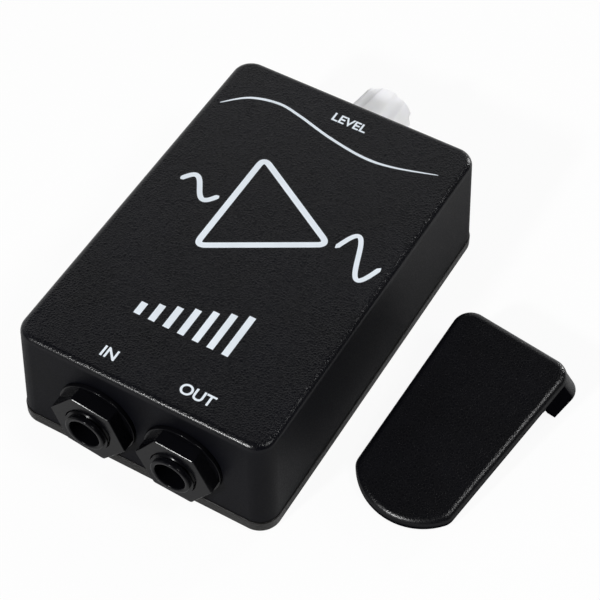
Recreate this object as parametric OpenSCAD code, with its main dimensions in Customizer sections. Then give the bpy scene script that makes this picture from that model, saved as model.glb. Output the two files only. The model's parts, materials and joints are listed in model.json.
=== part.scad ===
// Belt-worn preamplifier for an acoustic guitar: a moulded case with a screwed lid, two
// quarter-inch jacks at one end, a gain knob at the other, and a loose belt clip beside it.
// The origin is the middle of the lid's underside. +Y runs to the knob, +Z is up.

/* [Case] */
// Length of the case at its seam
case_l = 84.8; // [84.4:0.1:100]
// Width of the case at its seam, set by the battery and its connector
case_w = 56.2; // [56:0.1:70]
// Height of the closed case
case_h = 26.2; // [26:0.1:36]
// Thickness of the side and end walls
wall_t = 2.0; // [1.6:0.1:2.2]
// Thickness of the top panel
top_t = 2.2; // [1.6:0.1:2.4]
// How far each wall leans in between the seam and the top
draft = 0.7; // [0.3:0.1:1]
// Radius of the upright corners
corner_r = 4.2; // [3:0.1:6]
// Radius along the edges of the top panel
top_r = 1.5; // [0.8:0.1:2.5]

/* [Lid] */
// Thickness of the lid, which shows as a band below the seam
lid_t = 3.0; // [2.6:0.1:3.2]
// How far the lid stands out past the seam of the case
lid_step = 0.2; // [0:0.05:0.4]
// Radius along the lid's bottom edge
lid_edge_r = 0.8; // [0.4:0.1:1.2]
// Height of the lip that locates the lid in the case
lip_h = 1.3; // [0.8:0.1:1.4]
// Thickness of that lip
lip_t = 1.2; // [0.8:0.1:1.6]
// Gap between the lip and the case walls and bosses
lip_gap = 0.15; // [0.05:0.05:0.3]

/* [Lid screws] */
// Radius of a screw's shank
screw_r = 1.4; // [1.2:0.05:1.6]
// Radius of a screw's countersunk head
screw_head_r = 2.8; // [2.5:0.1:3.2]
// Length of a screw with its head
screw_l = 11; // [8:0.5:16]
// Radius of the bosses that the screws bite into
boss_r = 3.4; // [3:0.1:4]
// Distance of each boss axis from the case's two walls
boss_inset = 4.6; // [4.2:0.1:5]
// Room round a screw
screw_gap = 0.05; // [0.02:0.01:0.1]

/* [Jacks] */
// Distance between the two jacks
jack_pitch = 18.8; // [17.5:0.1:21]
// Sideways shift of the pair from the middle of the case
jack_shift = 0.6; // [0:0.1:1]
// Height of the jack and pot axes
panel_z = 13.0; // [12.7:0.1:13.5]
// Radius of the plug that goes in
plug_r = 3.175; // [3.1:0.005:3.2]
// Room round the plug in its bore
plug_gap = 0.125; // [0.075:0.025:0.2]
// Outer radius of the threaded bush
bush_r = 4.76; // [4.5:0.01:5]
// How far the bush stands out from the washer's seat
bush_reach = 5.25; // [4.6:0.05:6]
// Radius of the plain nose at the bush's end
nose_r = 4.2; // [4:0.05:4.4]
// Length of that nose
nose_l = 0.7; // [0.3:0.1:1]
// Width of the nut across its flats
nut_af = 14.25; // [13:0.05:15]
// Thickness of the nut
nut_t = 3.0; // [2.5:0.1:3.4]
// Height of the chamfer round the nut's front face
nut_chamfer = 0.1; // [0.05:0.05:0.5]
// Turn of the input nut about its axis
input_nut_turn = 9; // [-30:1:30]
// Turn of the output nut about its axis
output_nut_turn = 4; // [-30:1:30]
// Radius of the washer
washer_r = 8.3; // [8:0.1:8.6]
// Thickness of the washer
washer_t = 1.0; // [0.6:0.1:1.2]
// Width of the jack's housing inside the case
jack_w = 15; // [14:0.5:16]
// Height of the housing
jack_h = 16; // [15:0.5:17]
// Depth of the housing behind the wall
jack_d = 24; // [23:0.5:24.5]
// Thickness of the housing's walls
jack_wall = 2; // [1.5:0.1:2.2]
// Width of the contact springs
strip_w = 3; // [2:0.1:4]
// Thickness of the contact springs
strip_t = 0.4; // [0.3:0.05:0.5]
// Length of the solder lugs behind the housing
lug_l = 1.6; // [1:0.1:1.8]

/* [Gain control] */
// Radius of the knob where it meets the panel
knob_base_r = 7.1; // [6.8:0.1:8]
// Radius of the knob at its end
knob_end_r = 5.8; // [5:0.1:6.5]
// Length of the knob
knob_l = 11.4; // [10.4:0.1:13]
// Gap between the knob and the panel
knob_gap = 1.3; // [1:0.1:1.6]
// Number of flutes round the knob
knob_flutes = 6; // [3:1:8]
// Radius of the cutter that makes a flute
flute_r = 3.1; // [0.8:0.1:3.5]
// Depth of a flute at the knob's foot
flute_foot_depth = 0.4; // [0.2:0.05:0.5]
// Depth of a flute at the knob's end
flute_depth = 0.7; // [0.3:0.05:1]
// Angle of the first flute
flute_start = 59; // [0:1:90]
// Radius round the knob's end
knob_edge_r = 0.5; // [0.4:0.1:1.4]
// Radius of the shaft
shaft_r = 3.0; // [2.8:0.05:3.1]
// Running gap of the shaft in its bushing
shaft_gap = 0.05; // [0.03:0.01:0.08]
// Depth of the flat on the shaft
shaft_flat = 0.8; // [0.5:0.1:1.2]
// Radius of the pot's can
pot_r = 6.2; // [6:0.1:6.2]
// Depth of the can behind its front plate
pot_d = 7; // [6.5:0.1:8]
// Outer radius of the threaded bushing
pot_bush_r = 3.6; // [3.5:0.05:3.8]
// Width of the pot's nut across its flats
pot_nut_af = 10; // [9:0.1:10.2]
// Thickness of the pot's nut
pot_nut_t = 2.0; // [1.6:0.1:2.2]
// Radius of the pot's washer
pot_washer_r = 5.5; // [5:0.1:5.8]
// Thickness of the pot's washer
pot_washer_t = 0.5; // [0.4:0.1:0.8]

/* [Circuit board] */
// Width of the board
board_w = 38; // [36:0.5:39]
// Length of the board
board_l = 22; // [21:0.5:24]
// Thickness of the board
board_t = 1.6; // [1.2:0.1:1.8]
// Height of the board above the lid
board_lift = 1.6; // [1.4:0.1:1.8]
// Radius of the posts that carry the board
post_r = 2.0; // [1.5:0.1:2.5]
// Radius of an electrolytic capacitor
cap_r = 2.5; // [2:0.1:2.8]
// Height of an electrolytic capacitor
cap_h = 7; // [5:0.5:11]
// Length of a film capacitor
film_l = 7.2; // [6:0.1:8]
// Thickness of a film capacitor
film_t = 3; // [2:0.1:3.4]
// Height of a film capacitor
film_h = 6.5; // [5:0.1:9]
// Step of the grid that the parts are laid out on
grid = 1; // [0.96:0.01:1.02]

/* [Battery] */
// Length of the battery without its terminals
bat_l = 46.4; // [46:0.1:46.6]
// Width of the battery
bat_w = 26.4; // [25.5:0.1:26.6]
// Height of the battery as it lies
bat_h = 17.4; // [16.5:0.1:17.6]
// Radius of the battery's long edges
bat_edge_r = 2; // [1:0.1:3]
// Height of the terminals
stud_h = 2.0; // [1.8:0.1:2.2]
// Distance between the terminals
stud_pitch = 12.7; // [12.5:0.1:12.9]
// Thickness of the connector's strip
snap_t = 1.6; // [1.2:0.1:1.8]
// Thickness of the foam pad under the battery
foam_t = 1.5; // [1.4:0.1:1.6]
// Room between the battery and the ribs that hold it
bat_gap = 0.2; // [0.1:0.1:0.4]
// Room between the jacks' solder lugs and the battery
lug_room = 1.0; // [0.5:0.1:1.5]

/* [Wiring] */
// Radius of a wire with its insulation
wire_r = 0.6; // [0.4:0.05:0.65]

/* [Belt clip] */
// Distance of the clip's tip from the case's side wall
clip_stand = 16.5; // [15:0.1:40]
// Place of the clip's tip along the case
clip_y = -27.6; // [-40:0.1:0]
// Turn of the clip away from the case's length
clip_turn = 7.9; // [0:0.1:12]
// Length of the tongue
clip_l = 44.9; // [40:0.1:60]
// Width of the tongue behind its tip
clip_tip_w = 22; // [18:0.1:24]
// Width of the tongue at the hook
clip_hook_w = 26.1; // [22:0.1:30]
// Radius of the curved tip
clip_tip_r = 13.15; // [12.2:0.05:16]
// Thickness of the tongue
clip_t = 2.2; // [1.8:0.1:3]
// Radius along the tongue's top edges
clip_edge_r = 1.6; // [0.5:0.1:1.7]
// Radius of the corners at the hook
clip_corner_r = 3.9; // [2:0.1:5]
// Slope of the tongue, from its tip up to the hook
clip_tilt = 12.7; // [8:0.1:16]
// Length of the hook along the tongue
clip_hook_l = 9.1; // [7:0.1:12]
// Angle at which the hook leans away from the tip
clip_lean = 15; // [0:1:20]
// Thickness of the hook's walls
clip_wall = 1.8; // [1.4:0.1:2.4]
// Radius in the notch between the tongue and the hook's front edges
clip_notch_r = 1.5; // [0.5:0.1:2.5]

/* [Hidden] */
$fn = 64;
hull_fn = 32;
skin = 0.01;
past = 1;
seat_gap = 0.05;
solder_gap = 0.2;

black_abs = [0.09, 0.09, 0.10];
black_nylon = [0.13, 0.13, 0.14];
milky_white = [0.91, 0.91, 0.93];
nickel = [0.74, 0.73, 0.70];
brass = [0.78, 0.64, 0.34];

// The case: seam, ceiling, and how far the leaning walls have come in at a height
seam_land = 0.4;
ceiling_z = case_h - top_t;
lean = draft / (case_h - top_r - lid_t - seam_land);
cavity_r = max(corner_r - wall_t, wall_t / 2);
boss_x = case_w / 2 - boss_inset;
boss_y = case_l / 2 - boss_inset;
function lean_in(z) = lean * max(0, z - lid_t - seam_land);
function outer_y(z) = case_l / 2 - lean_in(z);
function inner_y(z) = outer_y(z) - wall_t;

// The jacks: seats on the front wall, outside and inside, and the chamber behind it
hole_gap = 0.1;
input_x = jack_shift - jack_pitch / 2;
output_x = jack_shift + jack_pitch / 2;
bore_r = plug_r + plug_gap;
jack_seat_y = -outer_y(panel_z + washer_r);
bush_end_y = jack_seat_y - bush_reach;
jack_front_y = -inner_y(panel_z + jack_h / 2) + seat_gap;
jack_back_y = jack_front_y + jack_d;
chamber_y = jack_front_y + jack_wall;
chamber_w = jack_w - 2 * jack_wall;
chamber_h = jack_h - 2 * jack_wall;
lug_y = jack_back_y + lug_l;
strip_z = chamber_h / 2 - strip_t / 2 - seat_gap;
strip_x = chamber_w / 2 - strip_t / 2 - seat_gap;

// The gain control, from the panel inwards and outwards along Y
pot_seat_y = outer_y(panel_z + pot_washer_r);
pot_nut_y = pot_seat_y + pot_washer_t;
pot_bush_end_y = pot_nut_y + pot_nut_t + 0.5;
plate_t = 1.2;
plate_y = inner_y(panel_z + pot_r) - seat_gap;
can_front_y = plate_y - plate_t;
can_back_y = can_front_y - pot_d;
can_t = 0.5;
wafer_t = 1.2;
wafer_y = can_front_y - seat_gap - wafer_t;
track_gap = 1.2;
rotor_t = 1.4;
rotor_y = wafer_y - track_gap - rotor_t;
rotor_r = pot_r - can_t - 0.5;
stub_r = 2.0;
knob_y = outer_y(panel_z) + knob_gap;
knob_end_y = knob_y + knob_l;
knob_roof = 2.2;
shaft_end_y = knob_end_y - knob_roof - 0.2;
flat_y = pot_bush_end_y + 0.2;
recess_y = pot_bush_end_y + 0.4;
recess_r = pot_nut_af / 2 / cos(30) + 0.3;
flute_foot_r = knob_base_r - flute_foot_depth;
flute_slope = atan((flute_foot_r - knob_end_r + flute_depth) / knob_l);
flute_l = knob_l / cos(flute_slope) + flute_r * tan(flute_slope);

// The battery, its connector and the board
board_z = lid_t + board_lift;
board_top_z = board_z + board_t;
pin_y = wafer_y + wafer_t / 2;
pin_r = 0.4;
pin_pitch = 2.5;
board_y1 = pin_y + 1.2;
board_y0 = board_y1 - board_l;
bat_y0 = lug_y + lug_room;
bat_y = bat_y0 + bat_w / 2;
bat_y1 = bat_y0 + bat_w;
bat_z = lid_t + foam_t;
bat_top_z = bat_z + bat_h;
bat_mid_z = bat_z + bat_h / 2;
snap_gap = 0.2;
pack_l = bat_l + stud_h + snap_gap + snap_t;
bat_x0 = -pack_l / 2;
bat_x1 = bat_x0 + bat_l;
snap_x = bat_x1 + stud_h + snap_gap;
snap_w = bat_w - 2.4;
snap_h = 12;
stud_r = 2.8;
crown_r = 4.2;
rib_t = 1.2;
rib_grip = 2.5;
rib_low_z = lid_t + lip_h + 1;
rib_high_z = panel_z + 5;

// The wires run over the battery and behind the jacks
wire_sides = 8;
wire_steps = 3;
over_z = (bat_top_z + ceiling_z) / 2;
behind_y = (jack_back_y + bat_y0) / 2;
after_y = bat_y1 + (bat_y0 - jack_back_y) / 2;
wire_rise = 6;
bend = 2.2;

// The clip: the arc's rise at the tip, the widening per length, and the height of the hook
clip_x = case_w / 2 + clip_stand;
tip_rise = clip_tip_r - sqrt(pow(clip_tip_r, 2) - pow(clip_tip_w / 2, 2));
clip_widen = (clip_hook_w - clip_tip_w) / 2 / (clip_l - tip_rise);
notch_l = clip_notch_r * tan(45 - clip_lean / 2);
hook_drop = clip_l * sin(clip_tilt) / (cos(clip_tilt) - tan(clip_lean) * sin(clip_tilt));
function clip_half(v) = clip_tip_w / 2 + clip_widen * (v - tip_rise);

// Shared shapes
module at_corners(x, y) {
    for (sx = [-1, 1]) for (sy = [-1, 1]) translate([sx * x, sy * y, 0]) children();
}

module y_cyl(r, y0, y1) {
    translate([0, y0, 0]) rotate([-90, 0, 0]) cylinder(r = r, h = y1 - y0);
}

module rounded_rect(w, l, r) {
    square([w - 2 * r, l], center = true);
    square([w, l - 2 * r], center = true);
    at_corners(w / 2 - r, l / 2 - r) circle(r = r);
}

module hex_nut(af, t, hole_r, chamfer) {
    point_r = af / 2 / cos(30);
    difference() {
        intersection() {
            cylinder(r = point_r, h = t, $fn = 6);
            union() {
                cylinder(r = point_r + skin, h = t - chamfer);
                translate([0, 0, t - chamfer])
                    cylinder(r1 = point_r + skin, r2 = point_r - 1.6 * chamfer, h = chamfer);
            }
        }
        translate([0, 0, -past]) cylinder(r = hole_r, h = t + 2 * past);
    }
}

// A thin strip of even thickness along points in a plane
function direction(p, i) =
    let (d = p[min(i + 1, len(p) - 1)] - p[max(i - 1, 0)]) d / norm(d);
function strip_side(p, t) =
    [for (i = [0 : len(p) - 1]) let (d = direction(p, i)) p[i] + t / 2 * [-d[1], d[0]]];
function strip_outline(p, t) =
    let (a = strip_side(p, t), b = strip_side(p, -t))
    concat(a, [for (i = [len(b) - 1 : -1 : 0]) b[i]]);

module contact_strip(p) {
    rotate([90, 0, 90]) translate([0, 0, -strip_w / 2])
        linear_extrude(strip_w) polygon(strip_outline(p, strip_t));
}

// A round wire along smoothed points
function unit(v) = v / norm(v);
function blend(a, b, c, d, t) =
    0.5 * (2 * b + (c - a) * t + (2 * a - 5 * b + 4 * c - d) * t * t
        + (3 * b - a - 3 * c + d) * t * t * t);
function smooth_path(p, n) =
    let (m = len(p) - 1)
    concat(
        [for (i = [0 : m - 1]) for (s = [0 : n - 1])
            blend(p[max(i - 1, 0)], p[i], p[i + 1], p[min(i + 2, m)], s / n)],
        [p[m]]);
function tangents(q) =
    let (m = len(q) - 1) [for (i = [0 : m]) unit(q[min(i + 1, m)] - q[max(i - 1, 0)])];
function carried(t, i, n) =
    i == len(t) ? [] : let (k = unit(n - (n * t[i]) * t[i])) concat([k], carried(t, i + 1, k));

module wire(points) {
    q = smooth_path(points, wire_steps);
    t = tangents(q);
    n = carried(t, 0, [1, 2, 3]);
    s = wire_sides;
    last = (len(q) - 1) * s;
    ring_points = [for (i = [0 : len(q) - 1]) for (j = [0 : s - 1])
        q[i] + wire_r * (cos(360 * j / s) * n[i] + sin(360 * j / s) * cross(t[i], n[i]))];
    near = [for (i = [0 : len(q) - 2]) for (j = [0 : s - 1])
        [i * s + j, (i + 1) * s + j, (i + 1) * s + (j + 1) % s]];
    far = [for (i = [0 : len(q) - 2]) for (j = [0 : s - 1])
        [i * s + j, (i + 1) * s + (j + 1) % s, i * s + (j + 1) % s]];
    start_cap = [for (j = [1 : s - 2]) [0, j, j + 1]];
    end_cap = [for (j = [1 : s - 2]) [last, last + j + 1, last + j]];
    polyhedron(points = ring_points, faces = concat(near, far, start_cap, end_cap));
}

// Case and lid
module case_outer() {
    hull() {
        translate([0, 0, lid_t]) at_corners(case_w / 2 - corner_r, case_l / 2 - corner_r)
            cylinder(r = corner_r, h = seam_land, $fn = hull_fn);
        translate([0, 0, case_h - top_r])
            at_corners(case_w / 2 - draft - corner_r, case_l / 2 - draft - corner_r)
                rotate_extrude($fn = hull_fn) {
                    square([corner_r - top_r, top_r]);
                    translate([corner_r - top_r, 0]) intersection() {
                        circle(r = top_r, $fn = hull_fn);
                        square(top_r);
                    }
                }
    }
}

module case_cavity() {
    high = lean_in(ceiling_z);
    hull() {
        translate([0, 0, lid_t - past])
            at_corners(case_w / 2 - wall_t - cavity_r, case_l / 2 - wall_t - cavity_r)
                cylinder(r = cavity_r, h = past + seam_land, $fn = hull_fn);
        translate([0, 0, ceiling_z - skin])
            at_corners(case_w / 2 - wall_t - high - cavity_r, case_l / 2 - wall_t - high - cavity_r)
                cylinder(r = cavity_r, h = skin, $fn = hull_fn);
    }
}

module battery_ribs() {
    rib_y = bat_w / 2 + bat_gap;
    rib_l = case_w / 2;
    for (sy = [-1, 1]) {
        translate([bat_x0 + rib_grip - rib_l, bat_y + sy * (rib_y + rib_t / 2) - rib_t / 2, rib_low_z])
            cube([rib_l, rib_t, case_h]);
        translate([bat_x1 - rib_grip, bat_y + sy * (rib_y + rib_t / 2) - rib_t / 2, rib_high_z])
            cube([rib_l, rib_t, case_h]);
    }
}

module case_shell() {
    color(black_abs) difference() {
        case_outer();
        difference() {
            case_cavity();
            translate([0, 0, lid_t]) at_corners(boss_x, boss_y) cylinder(r = boss_r, h = case_h);
            battery_ribs();
        }
        translate([0, 0, lid_t - past]) at_corners(boss_x, boss_y)
            cylinder(r = screw_r + screw_gap, h = screw_l - lid_t + 2 * past);
        for (x = [input_x, output_x]) translate([x, 0, panel_z]) {
            y_cyl(bush_r + hole_gap, jack_seat_y - past, jack_front_y + past);
            y_cyl(washer_r + hole_gap, jack_seat_y - past, jack_seat_y);
        }
        translate([0, 0, panel_z]) {
            y_cyl(pot_bush_r + hole_gap, plate_y - past, pot_seat_y + past);
            y_cyl(pot_washer_r + hole_gap, pot_seat_y, pot_seat_y + past);
        }
    }
}

module lid_block() {
    w = case_w + 2 * lid_step;
    l = case_l + 2 * lid_step;
    r = corner_r + lid_step;
    intersection() {
        hull() {
            at_corners(w / 2 - r, l / 2 - r) {
                translate([0, 0, lid_edge_r]) cylinder(r = r, h = lid_t - lid_edge_r, $fn = hull_fn);
                translate([0, 0, lid_edge_r]) mirror([0, 0, 1]) rotate_extrude($fn = hull_fn) {
                    square([r - lid_edge_r, 1.2 * lid_edge_r]);
                    translate([r - lid_edge_r, 0]) scale([1, 1.2]) intersection() {
                        circle(r = lid_edge_r, $fn = hull_fn);
                        square(lid_edge_r);
                    }
                }
            }
        }
        translate([-w, -l, 0]) cube([2 * w, 2 * l, lid_t]);
    }
}

module lid() {
    lip_w = case_w - 2 * (wall_t + lip_gap) - 2 * lean_in(lid_t + lip_h);
    lip_l = case_l - 2 * (wall_t + lip_gap) - 2 * lean_in(lid_t + lip_h);
    color(black_nylon) difference() {
        union() {
            lid_block();
            translate([0, 0, lid_t]) linear_extrude(lip_h) difference() {
                rounded_rect(lip_w, lip_l, cavity_r);
                rounded_rect(lip_w - 2 * lip_t, lip_l - 2 * lip_t, cavity_r - lip_t / 2);
                at_corners(boss_x, boss_y) circle(r = boss_r + lip_gap);
            }
            for (sx = [-1, 1]) translate([sx * (board_w / 2 - post_r - 1), board_y0 + post_r + 4, lid_t - skin])
                cylinder(r = post_r, h = board_lift + skin);
        }
        at_corners(boss_x, boss_y) {
            translate([0, 0, -past]) cylinder(r = screw_r + screw_gap, h = lid_t + 2 * past);
            translate([0, 0, -skin]) cylinder(
                r1 = screw_head_r + 2 * screw_gap + skin,
                r2 = screw_r + screw_gap,
                h = screw_head_r - screw_r + screw_gap + skin);
        }
    }
}

module lid_screws() {
    slot_w = 0.8;
    slot_d = 0.7;
    head_h = screw_head_r - screw_r;
    color(nickel) at_corners(boss_x, boss_y) translate([0, 0, seat_gap]) difference() {
        union() {
            cylinder(r1 = screw_head_r, r2 = screw_r, h = head_h);
            translate([0, 0, head_h - skin]) cylinder(r = screw_r, h = screw_l - head_h + skin);
        }
        for (a = [0, 90]) rotate([0, 0, a]) translate([-screw_head_r * 0.6, -slot_w / 2, -past])
            cube([screw_head_r * 1.2, slot_w, slot_d + past]);
    }
}

// Jacks
module jack_body(x) {
    color(black_nylon) translate([x, 0, panel_z]) difference() {
        union() {
            translate([-jack_w / 2, jack_front_y, -jack_h / 2]) cube([jack_w, jack_d, jack_h]);
            y_cyl(bush_r, bush_end_y + nose_l, jack_front_y + skin);
            y_cyl(nose_r, bush_end_y, bush_end_y + nose_l + skin);
        }
        y_cyl(bore_r, bush_end_y - past, chamber_y + skin);
        translate([-chamber_w / 2, chamber_y, -chamber_h / 2])
            cube([chamber_w, jack_d, chamber_h]);
    }
}

module jack_washer(x) {
    color(black_nylon) translate([x, 0, panel_z]) difference() {
        y_cyl(washer_r, jack_seat_y - washer_t, jack_seat_y);
        y_cyl(bush_r + seat_gap, jack_seat_y - washer_t - past, jack_seat_y + past);
    }
}

module jack_nut(x, turn) {
    color(black_nylon) translate([x, jack_seat_y - washer_t, panel_z]) rotate([0, turn, 0])
        rotate([90, 0, 0]) hex_nut(nut_af, nut_t, bush_r + seat_gap, nut_chamfer);
}

// A leaf that lies on the chamber's wall, dips to the plug and rises again at its free end
function leaf(wall, dip, dip_y) = [
    [lug_y, wall], [dip_y + 3, wall], [dip_y, dip], [dip_y - 3, dip + (wall - dip) / 2]
];

module tip_spring(x) {
    color(brass) translate([x, 0, panel_z])
        contact_strip(leaf(strip_z, plug_r - 0.5, jack_back_y - 6.5));
}

module ring_spring(x) {
    color(brass) translate([x, 0, panel_z]) rotate([0, 90, 0])
        contact_strip(leaf(strip_x, plug_r - 0.3, jack_back_y - 11));
}

module sleeve_spring(x) {
    color(brass) translate([x, 0, panel_z]) rotate([0, 180, 0])
        contact_strip(leaf(strip_z, plug_r - 0.3, chamber_y + 4.5));
}

module input_jack_body() { jack_body(input_x); }
module input_jack_washer() { jack_washer(input_x); }
module input_jack_nut() { jack_nut(input_x, input_nut_turn); }
module input_tip_spring() { tip_spring(input_x); }
module input_ring_spring() { ring_spring(input_x); }
module input_sleeve_spring() { sleeve_spring(input_x); }
module output_jack_body() { jack_body(output_x); }
module output_jack_washer() { jack_washer(output_x); }
module output_jack_nut() { jack_nut(output_x, output_nut_turn); }
module output_tip_spring() { tip_spring(output_x); }
module output_sleeve_spring() { sleeve_spring(output_x); }

// Gain control
module d_shape(r, y0, y1) {
    difference() {
        y_cyl(r, y0, y1);
        translate([-r, y0 - past, r - shaft_flat]) cube([2 * r, y1 - y0 + 2 * past, r]);
    }
}

module knob_form() {
    rotate([-90, 0, 0]) rotate_extrude() {
        round_x = knob_end_r - knob_edge_r;
        polygon([
            [0, 0], [knob_base_r, 0], [knob_end_r, knob_l - knob_edge_r],
            [round_x, knob_l - knob_edge_r], [round_x, knob_l], [0, knob_l]
        ]);
        translate([round_x, knob_l - knob_edge_r]) intersection() {
            circle(r = knob_edge_r);
            square(knob_edge_r);
        }
    }
}

module gain_knob() {
    color(milky_white) translate([0, 0, panel_z]) difference() {
        translate([0, knob_y, 0]) knob_form();
        for (i = [0 : knob_flutes - 1]) rotate([0, -flute_start - i * 360 / knob_flutes, 0])
            translate([flute_foot_r + flute_r, knob_y, 0]) rotate([0, 0, flute_slope])
                y_cyl(flute_r, -2 * past, flute_l + 2 * past);
        y_cyl(recess_r, knob_y - past, recess_y);
        d_shape(shaft_r + seat_gap, recess_y - past, shaft_end_y + seat_gap);
    }
}

module pot_shaft() {
    color(milky_white * 0.75) translate([0, 0, panel_z]) {
        y_cyl(stub_r, rotor_y - 0.8, wafer_y + skin);
        y_cyl(shaft_r, wafer_y, flat_y);
        d_shape(shaft_r, flat_y - skin, shaft_end_y);
    }
}

module pot_rotor() {
    color(milky_white * 0.85) translate([0, 0, panel_z]) difference() {
        y_cyl(rotor_r, rotor_y, rotor_y + rotor_t);
        y_cyl(stub_r + seat_gap, rotor_y - past, rotor_y + rotor_t + past);
    }
}

module pot_wiper() {
    base_t = 0.3;
    finger_r = 0.4;
    front_y = rotor_y + rotor_t;
    color(brass) translate([0, 0, panel_z]) {
        difference() {
            y_cyl(rotor_r - 0.6, front_y, front_y + base_t);
            y_cyl(shaft_r, front_y - past, front_y + base_t + past);
        }
        for (a = [60, 75]) rotate([0, a, 0]) translate([rotor_r - 1.3, 0, 0])
            y_cyl(finger_r, front_y + base_t - skin, wafer_y - seat_gap);
    }
}

module pot_bushing() {
    color(nickel) translate([0, 0, panel_z]) difference() {
        union() {
            y_cyl(pot_r, can_front_y, plate_y);
            y_cyl(pot_bush_r, plate_y - skin, pot_bush_end_y);
        }
        y_cyl(shaft_r + shaft_gap, can_front_y - past, pot_bush_end_y + past);
    }
}

module pot_can() {
    tail_w = 3 * pin_pitch + 1;
    color(nickel) translate([0, 0, panel_z]) difference() {
        y_cyl(pot_r, can_back_y, can_front_y);
        y_cyl(pot_r - can_t, can_back_y + can_t, can_front_y + past);
        translate([-tail_w / 2, wafer_y - 0.2, -2 * pot_r]) cube([tail_w, pot_d, 2 * pot_r]);
    }
}

module pot_wafer() {
    tail_w = 3 * pin_pitch;
    tail_z = board_top_z + 0.3 - panel_z;
    color([0.45, 0.28, 0.14]) translate([0, 0, panel_z]) difference() {
        union() {
            y_cyl(pot_r - can_t - 0.1, wafer_y, wafer_y + wafer_t);
            translate([-tail_w / 2, wafer_y, tail_z]) cube([tail_w, wafer_t, -tail_z]);
        }
        y_cyl(shaft_r + 0.2, wafer_y - past, wafer_y + wafer_t + past);
        for (i = [-1 : 1]) translate([i * pin_pitch, pin_y, tail_z - past])
            cylinder(r = pin_r, h = 1.6 + past);
    }
}

module pot_pins() {
    tail_z = board_top_z + 0.3;
    color(nickel) for (i = [-1 : 1]) translate([i * pin_pitch, pin_y, board_z - 0.6])
        cylinder(r = pin_r - 0.03, h = tail_z + 1.5 - board_z + 0.6);
}

module pot_washer() {
    color(nickel) translate([0, 0, panel_z]) difference() {
        y_cyl(pot_washer_r, pot_seat_y, pot_seat_y + pot_washer_t);
        y_cyl(pot_bush_r + seat_gap, pot_seat_y - past, pot_seat_y + pot_washer_t + past);
    }
}

module pot_nut() {
    color(nickel) translate([0, pot_nut_y, panel_z]) rotate([-90, 0, 0])
        hex_nut(pot_nut_af, pot_nut_t, pot_bush_r + seat_gap, 0.3);
}

// Circuit board
module circuit_board() {
    color([0.10, 0.35, 0.18]) difference() {
        translate([-board_w / 2, board_y0, board_z]) cube([board_w, board_l, board_t]);
        for (i = [-1 : 1]) translate([i * pin_pitch, pin_y, board_z - past])
            cylinder(r = pin_r + 0.1, h = board_t + 2 * past);
    }
}

module op_amp_chip() {
    chip = [9.6, 6.4, 3.3];
    leg_w = 0.5;
    leg_t = 0.25;
    leg_pitch = 2.54;
    stand = 0.5;
    translate([-9 * grid, board_y0 + 8 * grid, board_top_z]) {
        color(black_nylon) translate([-chip[0] / 2, -chip[1] / 2, stand]) cube(chip);
        color(nickel) for (i = [-1.5 : 1.5]) for (sy = [-1, 1])
            translate([i * leg_pitch - leg_w / 2, sy * (chip[1] / 2 + leg_t / 2) - leg_t / 2, 0])
                cube([leg_w, leg_t, stand + chip[2] / 2]);
    }
}

module electrolytic_caps() {
    spots = grid * [[6, 8], [13, 10], [13, 17]];
    color([0.12, 0.14, 0.30]) for (s = spots) translate([s[0], board_y0 + s[1], board_top_z])
        cylinder(r = cap_r, h = cap_h);
}

module film_caps() {
    spots = grid * [[-12, 14.5], [-12, 19]];
    color([0.65, 0.12, 0.10]) for (s = spots)
        translate([s[0] - film_l / 2, board_y0 + s[1] - film_t / 2, board_top_z])
            cube([film_l, film_t, film_h]);
}

module resistor() {
    body_l = 6;
    body_r = 1.1;
    lead_r = 0.3;
    span = 9;
    translate([0, 0, body_r]) {
        y_cyl(body_r, -body_l / 2, body_l / 2);
        y_cyl(lead_r, -span / 2 - lead_r, span / 2 + lead_r);
    }
    for (s = [-1, 1]) translate([0, s * span / 2, 0]) cylinder(r = lead_r, h = body_r);
}

module resistors() {
    spots = grid * [[-3, 9], [0, 9], [9, 16.5], [17, 7], [17, 17]];
    color([0.80, 0.68, 0.48]) for (s = spots) translate([s[0], board_y0 + s[1], board_top_z]) resistor();
}

// Battery and its connector
module stud_places() {
    for (s = [0, 1]) translate([bat_x1, bat_y + (s - 0.5) * stud_pitch, bat_mid_z])
        rotate([0, 90, 0]) children(s);
}

module battery() {
    color([0.16, 0.16, 0.18]) translate([bat_x0, bat_y, bat_mid_z]) rotate([90, 0, 90])
        linear_extrude(bat_l) rounded_rect(bat_w, bat_h, bat_edge_r);
}

module battery_terminals() {
    color(nickel) stud_places() {
        cylinder(r = stud_r, h = stud_h);
        difference() {
            cylinder(r = crown_r, h = stud_h);
            translate([0, 0, 0.4]) cylinder(r = stud_r + 0.3, h = stud_h);
        }
    }
}

module battery_snap() {
    color(black_abs) translate([snap_x, bat_y, bat_mid_z]) rotate([90, 0, 90])
        linear_extrude(snap_t) rounded_rect(snap_w, snap_h, snap_h / 3);
}

module snap_contacts() {
    reach = stud_h + snap_gap;
    color(nickel) stud_places() {
        translate([0, 0, seat_gap]) difference() {
            cylinder(r = crown_r, h = reach - 2 * seat_gap);
            translate([0, 0, -past]) cylinder(r = stud_r + 0.1, h = reach + 2 * past);
        }
        translate([0, 0, 0.5]) cylinder(r = stud_r, h = reach - 0.5 - seat_gap);
    }
}

module battery_foam() {
    margin = 3;
    color([0.30, 0.30, 0.32]) translate([bat_x0 + margin, bat_y0 + margin, lid_t])
        cube([bat_l - 2 * margin, bat_w - 2 * margin, foam_t]);
}

// Wiring
module over_wire(x, start_y, start_z, board_x) {
    wire([
        [x, start_y, start_z], [x, start_y, over_z - bend], [x, start_y + bend, over_z],
        [x, bat_y, over_z], [x, after_y - bend, over_z], [x, after_y, over_z - bend],
        [board_x, board_y0 + 0.4, board_top_z + wire_rise],
        [board_x, board_y0 + 1.4, board_top_z + solder_gap]
    ]);
}

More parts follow.
